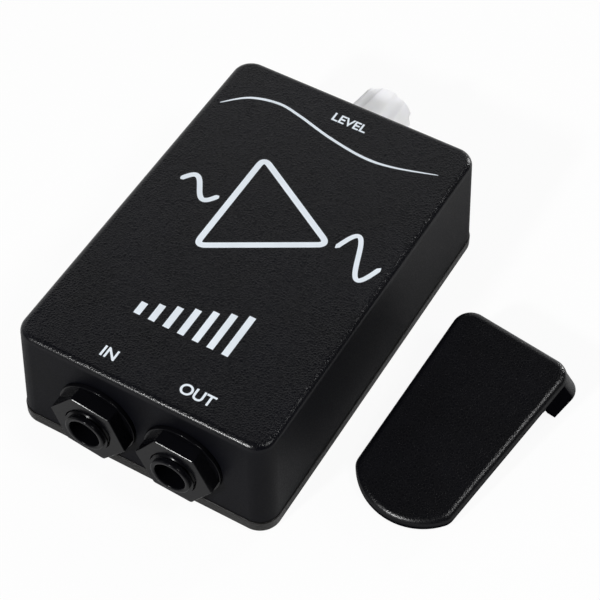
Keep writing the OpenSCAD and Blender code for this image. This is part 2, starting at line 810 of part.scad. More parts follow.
module input_wire() {
    color([0.92, 0.92, 0.88])
        over_wire(input_x, behind_y, panel_z + chamber_h / 2 + wire_r + seat_gap, input_x);
}

module output_wire() {
    color([0.20, 0.40, 0.75])
        over_wire(output_x, behind_y, panel_z + chamber_h / 2 + wire_r + seat_gap, output_x);
}

link_z = panel_z - strip_z - strip_t / 2 - wire_r - seat_gap;

module ground_link() {
    color(nickel) wire([
        [input_x - strip_w / 2, behind_y, link_z], [jack_shift, behind_y, link_z],
        [output_x + strip_w / 2, behind_y, link_z]
    ]);
}

module ground_wire() {
    gap_y = jack_back_y - wire_r;
    color([0.10, 0.45, 0.20]) wire([
        [jack_shift, behind_y, link_z + 2 * wire_r], [jack_shift, gap_y, link_z + 4],
        [jack_shift, gap_y, panel_z], [jack_shift, gap_y, over_z - bend],
        [jack_shift, gap_y + bend, over_z], [jack_shift, bat_y, over_z],
        [jack_shift, after_y - bend, over_z], [jack_shift, after_y, over_z - bend],
        [jack_shift + 2, board_y0 + 0.4, board_top_z + wire_rise],
        [jack_shift + 2, board_y0 + 1.4, board_top_z + solder_gap]
    ]);
}

module black_lead() {
    end_x = input_x + strip_x + strip_t / 2 + wire_r + seat_gap;
    color([0.06, 0.06, 0.06]) wire([
        [snap_x + snap_t / 2, bat_y - snap_w / 2 - solder_gap, bat_mid_z],
        [snap_x, behind_y + 0.9, bat_mid_z], [snap_x - bend, behind_y, bat_mid_z],
        [output_x, behind_y, panel_z], [jack_shift, behind_y, panel_z], [end_x, behind_y, panel_z]
    ]);
}

module red_lead() {
    pad_x = board_w / 2 - 2;
    color([0.75, 0.08, 0.06]) wire([
        [snap_x + snap_t / 2, bat_y + snap_w / 2 + solder_gap, bat_mid_z],
        [snap_x, after_y - 0.6, bat_mid_z], [snap_x - bend, board_y0, bat_mid_z - 2],
        [pad_x, board_y0 + 1, board_top_z + wire_rise / 2], [pad_x, board_y0 + 1.2, board_top_z + solder_gap]
    ]);
}

// Belt clip: plan outline drawn in by an inset, then the sloping tongue and the hollow hook
module clip_plan(inset) {
    half = clip_half(clip_l - clip_corner_r) - inset;
    r = clip_corner_r - inset;
    corner_v = clip_l - clip_corner_r;
    intersection() {
        union() {
            polygon([
                [-clip_half(0) + inset, 0], [clip_half(0) - inset, 0],
                [half, corner_v], [-half, corner_v]
            ]);
            for (s = [-1, 1]) translate([s * (half - r), corner_v]) circle(r = r, $fn = hull_fn);
            translate([-half + r, corner_v - past]) square([2 * (half - r), r + past]);
        }
        union() {
            translate([0, clip_tip_r]) circle(r = clip_tip_r - inset, $fn = 2 * hull_fn);
            translate([-clip_l, clip_tip_r]) square([2 * clip_l, clip_l]);
        }
    }
}

module clip_tongue() {
    straight = clip_t - clip_edge_r;
    hull() {
        linear_extrude(straight) clip_plan(0);
        for (q = [30 : 30 : 90]) linear_extrude(straight + clip_edge_r * sin(q))
            clip_plan(clip_edge_r * (1 - cos(q)));
    }
}

module hook_slice(inset, front) {
    intersection() {
        clip_plan(inset);
        translate([-clip_l, front]) square([2 * clip_l, clip_l]);
    }
}

module hook_block(inset, front, roof) {
    slip = hook_drop * tan(clip_lean);
    hull() {
        translate([0, 0, roof - skin]) linear_extrude(skin) hook_slice(inset, front);
        translate([0, slip, -hook_drop]) linear_extrude(skin) hook_slice(inset, front);
    }
}

// The material in the notch, on the side walls only
module hook_fillet(front) {
    intersection() {
        hook_block(0, front - notch_l, skin);
        translate([-clip_l, 0, 0]) rotate([90, 0, 90]) linear_extrude(2 * clip_l) difference() {
            polygon([
                [front - notch_l, skin], [front + notch_l, skin],
                [front + notch_l, -notch_l * cos(clip_lean)],
                [front + notch_l * sin(clip_lean), -notch_l * cos(clip_lean)]
            ]);
            translate([front - notch_l, -clip_notch_r]) circle(r = clip_notch_r);
        }
    }
}

module belt_clip() {
    front = clip_l - clip_hook_l;
    color(black_nylon) translate([clip_x, clip_y, 0]) rotate([0, 0, -clip_turn]) difference() {
        rotate([clip_tilt, 0, 0]) {
            clip_tongue();
            hook_block(0, front, skin);
            hook_fillet(front);
        }
        rotate([clip_tilt, 0, 0]) hook_block(clip_wall, front - notch_l - past, 0);
        translate([-clip_l, -clip_l, -2 * clip_l]) cube([2 * clip_l, 4 * clip_l, 2 * clip_l]);
    }
}

case_shell();
lid();
lid_screws();
input_jack_body();
input_jack_washer();
input_jack_nut();
input_tip_spring();
input_ring_spring();
input_sleeve_spring();
output_jack_body();
output_jack_washer();
output_jack_nut();
output_tip_spring();
output_sleeve_spring();
gain_knob();
pot_shaft();
pot_rotor();
pot_wiper();
pot_bushing();
pot_can();
pot_wafer();
pot_pins();
pot_washer();
pot_nut();
circuit_board();
op_amp_chip();
electrolytic_caps();
film_caps();
resistors();
battery();
battery_terminals();
battery_snap();
snap_contacts();
battery_foam();
red_lead();
black_lead();
input_wire();
output_wire();
ground_wire();
ground_link();
belt_clip();
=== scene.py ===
import json
import math

import bmesh
import bpy
from mathutils import Matrix, Vector


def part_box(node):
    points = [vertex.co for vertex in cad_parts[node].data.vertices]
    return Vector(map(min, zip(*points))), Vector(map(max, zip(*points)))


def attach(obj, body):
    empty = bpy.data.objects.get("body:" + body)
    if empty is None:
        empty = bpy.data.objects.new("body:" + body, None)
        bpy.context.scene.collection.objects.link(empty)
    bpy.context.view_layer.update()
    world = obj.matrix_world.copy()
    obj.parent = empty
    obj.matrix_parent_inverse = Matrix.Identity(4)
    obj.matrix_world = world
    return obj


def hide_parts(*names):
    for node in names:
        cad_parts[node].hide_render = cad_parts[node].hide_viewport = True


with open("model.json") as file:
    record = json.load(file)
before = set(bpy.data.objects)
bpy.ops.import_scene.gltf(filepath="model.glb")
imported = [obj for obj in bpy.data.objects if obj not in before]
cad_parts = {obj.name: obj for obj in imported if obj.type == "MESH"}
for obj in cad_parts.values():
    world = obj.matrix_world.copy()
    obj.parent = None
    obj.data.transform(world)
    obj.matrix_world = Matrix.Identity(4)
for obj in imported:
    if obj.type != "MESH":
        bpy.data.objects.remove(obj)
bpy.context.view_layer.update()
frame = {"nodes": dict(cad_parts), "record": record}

# Sizes are in millimetres and follow the CAD part. Places come from the CAD nodes where a node shows them.
MM = 0.001
CASE, KNOB, CLIP = "case", "gain_control", "belt_clip"

# A cutting tool runs this far past the faces that it opens.
PAST = 1.0

# A quarter turn in steps of 10 degrees, and in steps of 30 for the smallest rounds.
ARC = [math.radians(q) for q in range(0, 91, 10)]
COARSE_ARC = ARC[::3]


def mm_box(node):
    """Lowest and highest corner of a CAD node, in millimetres."""
    low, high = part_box(node)
    return low / MM, high / MM


# Meshes

BEVEL_ANGLE, BEVEL_SEGMENTS = 30, 2


def add_object(name, data):
    obj = bpy.data.objects.new(name, data)
    bpy.context.scene.collection.objects.link(obj)
    return obj


def mesh_object(name, points, faces):
    """An object with all faces turned outward, from points in millimetres."""
    mesh = bpy.data.meshes.new(name)
    mesh.from_pydata([Vector(p) * MM for p in points], [], faces)
    work = bmesh.new()
    work.from_mesh(mesh)
    bmesh.ops.recalc_face_normals(work, faces=work.faces)
    work.to_mesh(mesh)
    work.free()
    return add_object(name, mesh)


def loft(name, rings, closed=False):
    """A skin over rings of equal count: closed on itself, or capped at both ends."""
    count = len(rings[0])
    points = [p for ring in rings for p in ring]
    faces = []
    for i in range(len(rings) if closed else len(rings) - 1):
        a = i * count
        b = (i + 1) % len(rings) * count
        faces += [(a + j, a + (j + 1) % count, b + (j + 1) % count, b + j) for j in range(count)]
    if not closed:
        faces.append(tuple(reversed(range(count))))
        faces.append(tuple(range(len(points) - count, len(points))))
    return mesh_object(name, points, faces)


def final_mesh(obj):
    """A new mesh of the object, with its modifiers or its writing worked out."""
    bpy.context.view_layer.update()
    graph = bpy.context.evaluated_depsgraph_get()
    return bpy.data.meshes.new_from_object(obj.evaluated_get(graph))


def settle(obj):
    """Makes the object's modifiers part of its mesh."""
    mesh = final_mesh(obj)
    obj.modifiers.clear()
    obj.data = mesh


def carve(obj, *tools, operation="DIFFERENCE"):
    """Cuts the tools out of the object, or takes them up by another operation, and removes them."""
    for tool in tools:
        step = obj.modifiers.new("carve", "BOOLEAN")
        step.operation = operation
        step.solver = "EXACT"
        step.object = tool
    settle(obj)
    for tool in tools:
        bpy.data.objects.remove(tool)


def bevel(obj, width):
    """Breaks the object's sharp edges."""
    step = obj.modifiers.new("bevel", "BEVEL")
    step.width = width * MM
    step.segments = BEVEL_SEGMENTS
    step.limit_method = "ANGLE"
    step.angle_limit = math.radians(BEVEL_ANGLE)
    settle(obj)


def join(name, objects):
    """One object from several."""
    first = objects[0]
    work = bmesh.new()
    for obj in objects:
        work.from_mesh(obj.data)
    work.to_mesh(first.data)
    work.free()
    first.name = name
    for obj in objects[1:]:
        bpy.data.objects.remove(obj)
    return first


def dress(obj, material, body, nodes=(), sharp=35):
    """Smooth shading, material, and what the piece rides on and stands for."""
    obj.data.shade_smooth()
    obj.data.set_sharp_from_angle(angle=math.radians(sharp))
    even = obj.modifiers.new("even_normals", "WEIGHTED_NORMAL")
    even.keep_sharp = True
    obj.data.materials.clear()
    obj.data.materials.append(material)
    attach(obj, body)
    if nodes:
        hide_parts(*nodes)


def bend(start, corner, end, steps):
    """Points of a curve from start to end that leans towards the corner."""
    points = []
    for k in range(steps + 1):
        t = k / steps
        points.append(tuple((1 - t) ** 2 * start + 2 * t * (1 - t) * corner + t * t * end))
    return points


def soften(corners, steps=4):
    """A closed outline with each corner rounded over its own reach: (a, b, reach)."""
    outline = []
    for i, (a, b, reach) in enumerate(corners):
        if not reach:
            outline.append((a, b))
            continue
        here = Vector((a, b))
        back = Vector(corners[i - 1][:2]) - here
        ahead = Vector(corners[(i + 1) % len(corners)][:2]) - here
        start = here + back.normalized() * reach
        end = here + ahead.normalized() * reach
        outline += bend(start, here, end, steps)
    return outline


def circle_ring(radius, x, y, z, steps=96):
    """A ring round a line along Y. The radius may depend on the angle."""
    ring = []
    for i in range(steps):
        a = 2 * math.pi * i / steps
        r = radius(a) if callable(radius) else radius
        ring.append((x + r * math.cos(a), y, z + r * math.sin(a)))
    return ring


def lathe(name, outline, x, z):
    """A closed outline of (radius, y) turned about a line along Y."""
    return loft(name, [circle_ring(r, x, y, z) for r, y in outline], closed=True)


def drum(name, stations, x, z):
    """A solid turned about a line along Y, through (radius, y) stations."""
    return loft(name, [circle_ring(r, x, y, z) for r, y in stations])


def upright(name, stations, x, y, steps=48):
    """A solid turned about an upright line, through (radius, z) stations."""
    turns = [2 * math.pi * i / steps for i in range(steps)]
    return loft(name, [[(x + r * math.cos(a), y + r * math.sin(a), z) for a in turns] for r, z in stations])


def block(name, low, high):
    """A box between two corners."""
    spans = list(zip(low, high))
    corners = [(x, y, z) for z in spans[2] for y in spans[1] for x in spans[0]]
    sides = [(0, 1, 3, 2), (4, 5, 7, 6), (0, 1, 5, 4), (2, 3, 7, 6), (0, 2, 6, 4), (1, 3, 7, 5)]
    return mesh_object(name, corners, sides)


def box_ring(half_x, half_y, radius, z, steps=16):
    """A rounded rectangle round the Z axis."""
    ring = []
    for quarter, (sx, sy) in enumerate(((1, 1), (-1, 1), (-1, -1), (1, -1))):
        for k in range(steps + 1):
            a = (quarter + k / steps) * math.pi / 2
            ring.append((sx * (half_x - radius) + radius * math.cos(a),
                         sy * (half_y - radius) + radius * math.sin(a), z))
    return ring


# Materials

# The Mix node's sockets for colours.
MIX_FACTOR, MIX_DARK, MIX_LIGHT, MIX_RESULT = 0, 6, 7, 2

# Leather grain: how far and how finely its cells are bent, its creases, and the fine noise on it.
GRAIN_WARP, GRAIN_WARP_SCALE, GRAIN_WARP_DETAIL = 0.5, 0.6, 2.0
CREASE_HEIGHT, CREASE_WIDTH = 0.7, 0.28
FINE_SHARE, FINE_SCALE, FINE_DETAIL, FINE_ROUGH = 0.8, 2.2, 4.0, 0.65

# Moulded black: its clouds, and the roughness that the grain's creases add and its cells take away.
BLACK_PATCH, BLACK_DETAIL, BLACK_DARK, BLACK_LIGHT = 90, 4.0, 0.75, 1.3
CREASE_DULL, CELL_SHINE, GRAIN_HEIGHTS = 0.07, -0.05, (0.2, 1.2)

# How far up a face looks, as the Z of its normal, where its shine and its grain change over.
SHINE_SPAN, GRAIN_SPAN = (0.05, 0.6), (0.75, 0.98)


def new_material(name):
    mat = bpy.data.materials.new(name)
    mat.use_nodes = True
    return mat, mat.node_tree, mat.node_tree.nodes["Principled BSDF"]


def noise(tree, scale, detail=3.0, rough=0.55):
    """The outputs of a noise node in the object's own space."""
    place = tree.nodes.new("ShaderNodeTexCoord")
    tex = tree.nodes.new("ShaderNodeTexNoise")
    tex.inputs["Scale"].default_value = scale
    tex.inputs["Detail"].default_value = detail
    tex.inputs["Roughness"].default_value = rough
    tree.links.new(place.outputs["Object"], tex.inputs["Vector"])
    return tex.outputs


def remap(tree, value, low, high, from_low=0.3, from_high=0.7):
    """A value brought from one span to another. The usual span of a noise is the default."""
    step = tree.nodes.new("ShaderNodeMapRange")
    step.inputs["From Min"].default_value = from_low
    step.inputs["From Max"].default_value = from_high
    step.inputs["To Min"].default_value = low
    step.inputs["To Max"].default_value = high
    tree.links.new(value, step.inputs["Value"])
    return step.outputs["Result"]


def compute(tree, operation, *values):
    """A math node. Each value is a number or another node's socket."""
    step = tree.nodes.new("ShaderNodeMath")
    step.operation = operation
    for socket, value in zip(step.inputs, values):
        if isinstance(value, bpy.types.NodeSocket):
            tree.links.new(value, socket)
        else:
            socket.default_value = value
    return step.outputs["Value"]


def mix_color(tree, factor, dark, light):
    mix = tree.nodes.new("ShaderNodeMix")
    mix.data_type = "RGBA"
    mix.inputs[MIX_DARK].default_value = (*dark, 1)
    mix.inputs[MIX_LIGHT].default_value = (*light, 1)
    tree.links.new(factor, mix.inputs[MIX_FACTOR])
    return mix.outputs[MIX_RESULT]


def shade(color, factor):
    """A colour made darker or lighter."""
    return tuple(min(1.0, c * factor) for c in color)


def cloudy_color(tree, shader, patch, dark, light, detail=3.0):
    """A base colour that drifts between two tones."""
    share = remap(tree, noise(tree, patch, detail)["Fac"], 0, 1)
    tree.links.new(mix_color(tree, share, dark, light), shader.inputs["Base Color"])


def add_bump(tree, shader, height, depth, strength=None):
    """A bump, its depth in millimetres. Its strength may come from another node."""
    bump = tree.nodes.new("ShaderNodeBump")
    bump.inputs["Distance"].default_value = depth * MM
    if strength is not None:
        tree.links.new(strength, bump.inputs["Strength"])
    tree.links.new(height, bump.inputs["Height"])
    tree.links.new(bump.outputs["Normal"], shader.inputs["Normal"])


def surface(name, base, roughness, spread=0.2, patch=120, grain=2500, depth=0.01, metallic=0.0,
            rough_spread=0.06, specular=0.5):
    """A material with cloudy colour, uneven gloss and a fine moulded or brushed grain."""
    mat, tree, shader = new_material(name)
    cloudy_color(tree, shader, patch, shade(base, 1 - spread), shade(base, 1 + spread))
    fine = noise(tree, grain)["Fac"]
    gloss = remap(tree, fine, roughness - rough_spread, roughness + rough_spread)
    tree.links.new(gloss, shader.inputs["Roughness"])
    shader.inputs["Metallic"].default_value = metallic
    shader.inputs["Specular IOR Level"].default_value = specular
    add_bump(tree, shader, fine, depth)
    return mat


def leather_grain(tree, cell):
    """Height of a leather-like moulded grain: rounded cells between fine creases."""
    place = tree.nodes.new("ShaderNodeTexCoord")
    warp = noise(tree, cell * GRAIN_WARP_SCALE, GRAIN_WARP_DETAIL)["Color"]
    shift = tree.nodes.new("ShaderNodeVectorMath")
    shift.operation = "MULTIPLY_ADD"
    shift.inputs[1].default_value = (GRAIN_WARP * MM,) * 3
    tree.links.new(warp, shift.inputs[0])
    tree.links.new(place.outputs["Object"], shift.inputs[2])
    cells = tree.nodes.new("ShaderNodeTexVoronoi")
    cells.feature = "DISTANCE_TO_EDGE"
    cells.inputs["Scale"].default_value = cell
    tree.links.new(shift.outputs["Vector"], cells.inputs["Vector"])
    creases = remap(tree, cells.outputs["Distance"], 0, CREASE_HEIGHT, 0, CREASE_WIDTH)
    fine = noise(tree, cell * FINE_SCALE, FINE_DETAIL, FINE_ROUGH)["Fac"]
    return compute(tree, "MULTIPLY_ADD", fine, FINE_SHARE, creases)


def moulded_black(name, base, cell, depth, side_depth, roughness, side_roughness, specular, side_specular):
    """Black plastic: its leather grain is deep and shiny on upward faces, faint and dull on the walls."""
    mat, tree, shader = new_material(name)
    cloudy_color(tree, shader, BLACK_PATCH, shade(base, BLACK_DARK), shade(base, BLACK_LIGHT), BLACK_DETAIL)
    facing = tree.nodes.new("ShaderNodeNewGeometry")
    split = tree.nodes.new("ShaderNodeSeparateXYZ")
    tree.links.new(facing.outputs["Normal"], split.inputs["Vector"])
    upward = split.outputs["Z"]
    shine = remap(tree, upward, side_specular, specular, *SHINE_SPAN)
    tree.links.new(shine, shader.inputs["Specular IOR Level"])
    height = leather_grain(tree, cell)
    dull = remap(tree, upward, side_roughness, roughness, *SHINE_SPAN)
    gloss = remap(tree, height, CREASE_DULL, CELL_SHINE, *GRAIN_HEIGHTS)
    tree.links.new(compute(tree, "ADD", dull, gloss), shader.inputs["Roughness"])
    add_bump(tree, shader, height, depth, remap(tree, upward, side_depth, 1.0, *GRAIN_SPAN))
    return mat


def milky_plastic(name, dark, light, patch, grain, gloss, depth, looks):
    """Pale plastic that light enters. Looks are plain values for the shader's sockets."""
    mat, tree, shader = new_material(name)
    cloudy_color(tree, shader, patch, dark, light)
    fine = noise(tree, grain)["Fac"]
    tree.links.new(remap(tree, fine, *gloss), shader.inputs["Roughness"])
    for socket, value in looks.items():
        shader.inputs[socket].default_value = value
    add_bump(tree, shader, fine, depth)
    return mat


SHELL_BLACK = moulded_black(
    "shell_black", base=(0.0019, 0.0020, 0.0034), cell=1900, depth=0.05, side_depth=0.20,
    roughness=0.24, side_roughness=0.50, specular=0.28, side_specular=0.07)
CLIP_BLACK = moulded_black(
    "clip_black", base=(0.0024, 0.0024, 0.0034), cell=1700, depth=0.04, side_depth=0.30,
    roughness=0.28, side_roughness=0.45, specular=0.32, side_specular=0.0)
LID_BLACK = surface("lid_black", (0.0050, 0.0044, 0.0040), 0.36, grain=1500, depth=0.10, specular=0.24)
JACK_BLACK = surface("jack_black", (0.0024, 0.0024, 0.0032), 0.20, grain=1500, depth=0.006,
                     rough_spread=0.04, specular=0.10)
KNOB_MILK = milky_plastic(
    "knob_milk", dark=(0.90, 0.90, 0.93), light=(0.94, 0.94, 0.96), patch=160, grain=1800,
    gloss=(0.48, 0.60), depth=0.01,
    looks={"Specular IOR Level": 0.2, "Subsurface Weight": 0.35,
           "Subsurface Radius": (1.0, 1.0, 1.1), "Subsurface Scale": 2.0 * MM})
PRINT_WHITE = surface("print_white", (0.74, 0.80, 0.86), 0.5, spread=0.06, grain=2000, depth=0.02)
DARK_STEEL = surface("dark_steel", (0.16, 0.16, 0.17), 0.35, grain=4000, depth=0.01, metallic=1.0)

INNER = {
    "pot_metal": dict(base=(0.60, 0.59, 0.56), roughness=0.35, metallic=1.0, grain=4000, spread=0.08),
    "contact_brass": dict(base=(0.70, 0.52, 0.24), roughness=0.30, metallic=1.0, grain=4000, spread=0.1),
    "terminal_nickel": dict(base=(0.66, 0.65, 0.62), roughness=0.22, metallic=1.0, grain=4000,
                            spread=0.06),
    "tinned_wire": dict(base=(0.68, 0.68, 0.67), roughness=0.30, metallic=1.0, grain=5000, spread=0.08),
    "shaft_plastic": dict(base=(0.62, 0.61, 0.57), roughness=0.40, spread=0.08),
    "phenolic": dict(base=(0.24, 0.12, 0.05), roughness=0.50, spread=0.25, patch=600),
    "board_laminate": dict(base=(0.02, 0.11, 0.04), roughness=0.28, spread=0.25, patch=900),
    "chip_epoxy": dict(base=(0.012, 0.012, 0.014), roughness=0.50, spread=0.2),
    "cap_sleeve": dict(base=(0.015, 0.025, 0.12), roughness=0.30, spread=0.15),
    "film_cap_case": dict(base=(0.36, 0.02, 0.015), roughness=0.30, spread=0.15),
    "resistor_coat": dict(base=(0.56, 0.38, 0.16), roughness=0.32, spread=0.15, patch=900),
    "battery_jacket": dict(base=(0.02, 0.02, 0.024), roughness=0.32, spread=0.2),
    "snap_vinyl": dict(base=(0.012, 0.012, 0.012), roughness=0.5, spread=0.2),
    "foam": dict(base=(0.06, 0.06, 0.065), roughness=0.9, spread=0.35, patch=1500, grain=1200,
                 depth=0.2),
    "red_insulation": dict(base=(0.45, 0.012, 0.01), roughness=0.35, spread=0.1),
    "black_insulation": dict(base=(0.01, 0.01, 0.01), roughness=0.35, spread=0.15),
    "white_insulation": dict(base=(0.72, 0.72, 0.66), roughness=0.35, spread=0.06),
    "blue_insulation": dict(base=(0.02, 0.06, 0.32), roughness=0.35, spread=0.1),
    "green_insulation": dict(base=(0.01, 0.11, 0.025), roughness=0.35, spread=0.1),
}


def dress_inner_nodes():
    """The hidden works keep their CAD solids and get materials by their record slots."""
    made = {slot: surface(slot, **look) for slot, look in INNER.items()}
    for part in frame["record"]["subparts"]:
        if part["material_slot"] in made:
            node = frame["nodes"][part["node"]]
            node.data.materials.clear()
            node.data.materials.append(made[part["material_slot"]])


# Case and lid

WALL, TOP_T = 2.0, 2.2
CORNER_R, TOP_R, DRAFT = 4.2, 1.5, 0.7
SEAM_LAND, SEAM_ROUND = 0.4, 0.22
LID_EDGE_R, LID_STEP = 0.8, 0.2
PRINT_T = 0.03

shell_low, shell_high = mm_box("case_shell")
HALF_X, HALF_Y = shell_high.x, shell_high.y
SEAM_Z, CASE_H = shell_low.z, shell_high.z
TOP_Z = CASE_H - PRINT_T
LEAN = DRAFT / (CASE_H - TOP_R - SEAM_Z - SEAM_LAND)

# The jacks' and the pot's places in the walls, and the holes for them.
washer_low, washer_high = mm_box("input_jack_washer")
JACK_X = {side: sum(c.x for c in mm_box(f"{side}_jack_washer")) / 2 for side in ("input", "output")}
PANEL_Z = (washer_low.z + washer_high.z) / 2
WASHER_R = (washer_high.x - washer_low.x) / 2
JACK_SEAT_Y, POT_SEAT_Y = washer_high.y, mm_box("pot_washer")[0].y
BUSH_R, BORE_R = 4.76, 3.3
POT_BUSH_R, POT_WASHER_R = 3.6, 5.5
HOLE_GAP, HOLE_REACH = 0.1, 6

# The lid's screws with their crossed recess.
SCREW_INSET, SCREW_GAP = 4.6, 0.15
SCREW_R, SCREW_HEAD_R, SCREW_EDGE = 1.4, 2.8, 0.15
SCREW_CONE = SCREW_HEAD_R - SCREW_R
SCREW_POINT_R, SCREW_POINT_L = 0.3, 1.5
CROSS_HALF_L, CROSS_HALF_W, CROSS_DEPTH, CROSS_TURN = 1.6, 0.4, 0.8, 20


def shell_ring(inset, radius, z):
    """The case's plan, drawn in by an inset."""
    return box_ring(HALF_X - inset, HALF_Y - inset, radius, z)


def wall_hole(radius, start, end, x=0):
    """A tool along Y for a hole or a spot-face, with room round the piece that goes there."""
    r = radius + HOLE_GAP
    return drum("hole", [(r, start), (r, end)], x, PANEL_Z)


def make_case():
    ceiling = CASE_H - TOP_T
    inner_r = CORNER_R - WALL
    lean_in = LEAN * (ceiling - SEAM_Z - SEAM_LAND)
    rings = [shell_ring(WALL + lean_in, inner_r, ceiling), shell_ring(WALL, inner_r, SEAM_Z)]
    for a in COARSE_ARC:
        inset = SEAM_ROUND * (1 - math.sin(a))
        rings.append(shell_ring(inset, CORNER_R - inset, SEAM_Z + SEAM_ROUND * (1 - math.cos(a))))
    rings.append(shell_ring(0, CORNER_R, SEAM_Z + SEAM_LAND))
    for a in ARC:
        inset = TOP_R * (1 - math.cos(a))
        rings.append(shell_ring(DRAFT + inset, CORNER_R - inset, TOP_Z - TOP_R + TOP_R * math.sin(a)))
    shell = loft("case_moulding", rings)
    tools = []
    for x in JACK_X.values():
        tools.append(wall_hole(BUSH_R, -HALF_Y - PAST, -HALF_Y + HOLE_REACH, x))
        tools.append(wall_hole(WASHER_R, -HALF_Y - PAST, JACK_SEAT_Y, x))
    tools.append(wall_hole(POT_BUSH_R, HALF_Y - HOLE_REACH, HALF_Y + PAST))
    tools.append(wall_hole(POT_WASHER_R, POT_SEAT_Y, HALF_Y + PAST))
    carve(shell, *tools)
    dress(shell, SHELL_BLACK, CASE, ["case_shell"])


def screw_places():
    x, y = HALF_X - SCREW_INSET, HALF_Y - SCREW_INSET
    return [(sx * x, sy * y) for sx in (-1, 1) for sy in (-1, 1)]


def make_lid():
    rings = []
    for a in ARC:
        inset = LID_EDGE_R * (1 - math.sin(a)) - LID_STEP
        rings.append(shell_ring(inset, CORNER_R - inset, LID_EDGE_R * (1 - math.cos(a))))
    for a in COARSE_ARC:
        inset = SEAM_ROUND * (1 - math.cos(a)) - LID_STEP
        rings.append(shell_ring(inset, CORNER_R - inset, SEAM_Z - SEAM_ROUND + SEAM_ROUND * math.sin(a)))
    lid = loft("lid_moulding", rings)
    wide, narrow = SCREW_HEAD_R + SCREW_GAP, SCREW_R + SCREW_GAP
    stations = [(wide + PAST, -PAST), (wide, 0), (narrow, SCREW_CONE), (narrow, SEAM_Z + PAST)]
    carve(lid, *[upright("countersink", stations, x, y) for x, y in screw_places()])
    dress(lid, LID_BLACK, CASE, ["lid"])


def make_screws():
    low, high = mm_box("lid_screws")
    stations = [(SCREW_HEAD_R - SCREW_EDGE, low.z), (SCREW_HEAD_R, low.z + SCREW_EDGE),
                (SCREW_R, low.z + SCREW_CONE), (SCREW_R, high.z - SCREW_POINT_L), (SCREW_POINT_R, high.z)]
    screws = []
    for x, y in screw_places():
        screw = upright("screw", stations, x, y)
        for turn in (CROSS_TURN, CROSS_TURN + 90):
            cut = block("recess", (-CROSS_HALF_L, -CROSS_HALF_W, -PAST),
                        (CROSS_HALF_L, CROSS_HALF_W, CROSS_DEPTH))
            cut.data.transform(Matrix.Rotation(math.radians(turn), 4, "Z"))
            cut.data.transform(Matrix.Translation(Vector((x, y, low.z)) * MM))
            carve(screw, cut)
        screws.append(screw)
    dress(join("lid_screw_set", screws), DARK_STEEL, CASE, ["lid_screws"])


# Jacks

NOSE_R, NOSE_L, NOSE_EDGE, BORE_EDGE = 4.2, 0.7, 0.25, 0.3
THREAD_PITCH, THREAD_DEPTH, THREAD_FADE, THREAD_STEPS = 0.79, 0.32, 0.2, 8
HOUSING_L, HOUSING_BEVEL = 24.0, 0.3
JACK_WALL, BUSH_LIP = 2.0, 0.3
THREAD_GAP = 0.05
THREAD_HOLE_R = BUSH_R + THREAD_GAP
WASHER_EDGE, WASHER_FACE_EDGE = 0.1, 0.18

# A hexagon's corners lie further out than its flats by this factor.
HEX_SIDES = 6
POINT_FACTOR = 1 / math.cos(math.pi / HEX_SIDES)
NUT_AF = 14.25
NUT_POINT_R = NUT_AF / 2 * POINT_FACTOR
NUT_CHAMFER, NUT_CHAMFER_L = 0.085, 0.10
NUT_ROUND, NUT_FLARE, NUT_MOUTH = 0.2, 0.1, 0.2
NUT_TURN = {"input": 9, "output": 4}


def thread_radius(crest, y, fade):
    """The crest and root of a screw thread along Y, as a radius that depends on the angle."""
    def radius(angle):
        turn = (y / THREAD_PITCH + angle / (2 * math.pi)) % 1
        return crest - fade * THREAD_DEPTH * abs(2 * turn - 1)
    return radius


def jack_bush(x, front, back):
    """The bush: plain nose, threaded outside and plug bore."""
    start, end = front + NOSE_L, JACK_SEAT_Y
    nose = soften([(BORE_R, back, 0), (BORE_R, front, BORE_EDGE), (NOSE_R, front, NOSE_EDGE),
                   (NOSE_R, start, 0)])
    rings = [circle_ring(r, x, y, PANEL_Z) for r, y in nose]
    steps = int((end - start) / THREAD_PITCH * THREAD_STEPS)
    for k in range(steps + 1):
        y = start + (end - start) * k / steps
        fade = min(1, (y - start) / THREAD_FADE, (end - y) / THREAD_FADE)
        rings.append(circle_ring(thread_radius(BUSH_R, y, fade), x, y, PANEL_Z))
    rings.append(circle_ring(BUSH_R, x, back, PANEL_Z))
    return loft("bush", rings, closed=True)


def make_jack_body(side):
    """The housing with its open chamber, and the bush, whose back end stands into the chamber a little."""
    x = JACK_X[side]
    low, high = mm_box(f"{side}_jack_body")
    housing_y = high.y - HOUSING_L
    chamber_y = housing_y + JACK_WALL
    body = block("housing", (low.x, housing_y, low.z), high)
    chamber = block("chamber", (low.x + JACK_WALL, chamber_y, low.z + JACK_WALL),
                    (high.x - JACK_WALL, high.y + PAST, high.z - JACK_WALL))
    throat = drum("throat", [(NOSE_R, housing_y - PAST), (NOSE_R, chamber_y + PAST)], x, PANEL_Z)
    carve(body, chamber, throat)
    bevel(body, HOUSING_BEVEL)
    carve(body, jack_bush(x, low.y, chamber_y + BUSH_LIP), operation="UNION")
    body.name = f"{side}_jack_moulding"
    dress(body, JACK_BLACK, CASE, [f"{side}_jack_body"], sharp=40)


def make_jack_washer(side):
    low, high = mm_box(f"{side}_jack_washer")
    outline = soften([(THREAD_HOLE_R, low.y, WASHER_EDGE), (WASHER_R, low.y, WASHER_FACE_EDGE),
                      (WASHER_R, high.y, WASHER_EDGE), (THREAD_HOLE_R, high.y, WASHER_EDGE)])
    ring = lathe(f"{side}_washer_ring", outline, JACK_X[side], PANEL_Z)
    dress(ring, JACK_BLACK, CASE, [f"{side}_jack_washer"])


